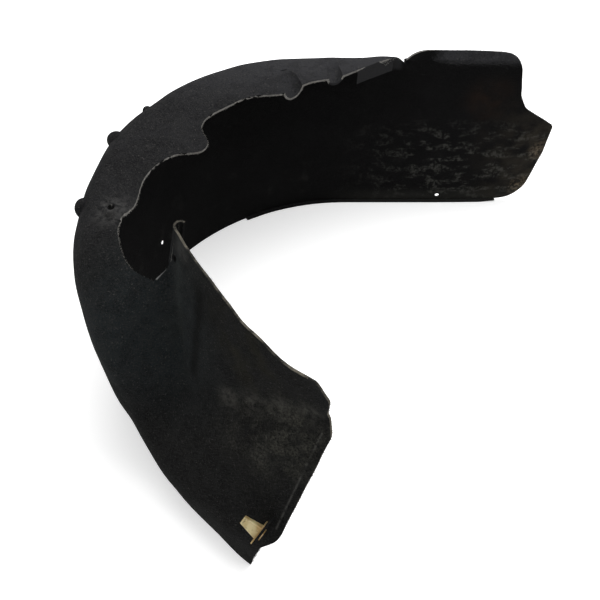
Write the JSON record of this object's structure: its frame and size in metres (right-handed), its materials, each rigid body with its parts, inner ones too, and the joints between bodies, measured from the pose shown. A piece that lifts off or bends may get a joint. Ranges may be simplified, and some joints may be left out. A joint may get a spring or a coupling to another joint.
{
  "type": "wheel arch liner",
  "caption": "Moulded felt liner that wraps over a car wheel as a mudguard, with a side wall, ragged cut edge, upstand and a yellowed plastic screw grommet in its lower end.",
  "frame": {"origin": "middle of the bounding box, on the plane of the outer rim that the liner lies on", "axes": "+Z along the wheel's axle towards the middle of the car, +X out of the open side of the arch, along its straight run"},
  "size_m": [0.7208, 0.7211, 0.3463],
  "materials": {
    "liner_felt": "matt black needle felt, dusty",
    "grommet_plastic": "natural nylon, yellowed"
  },
  "bodies": {
    "root": {"arch_liner": "liner_felt", "screw_grommet": "grommet_plastic"}
  },
  "joints": []
}
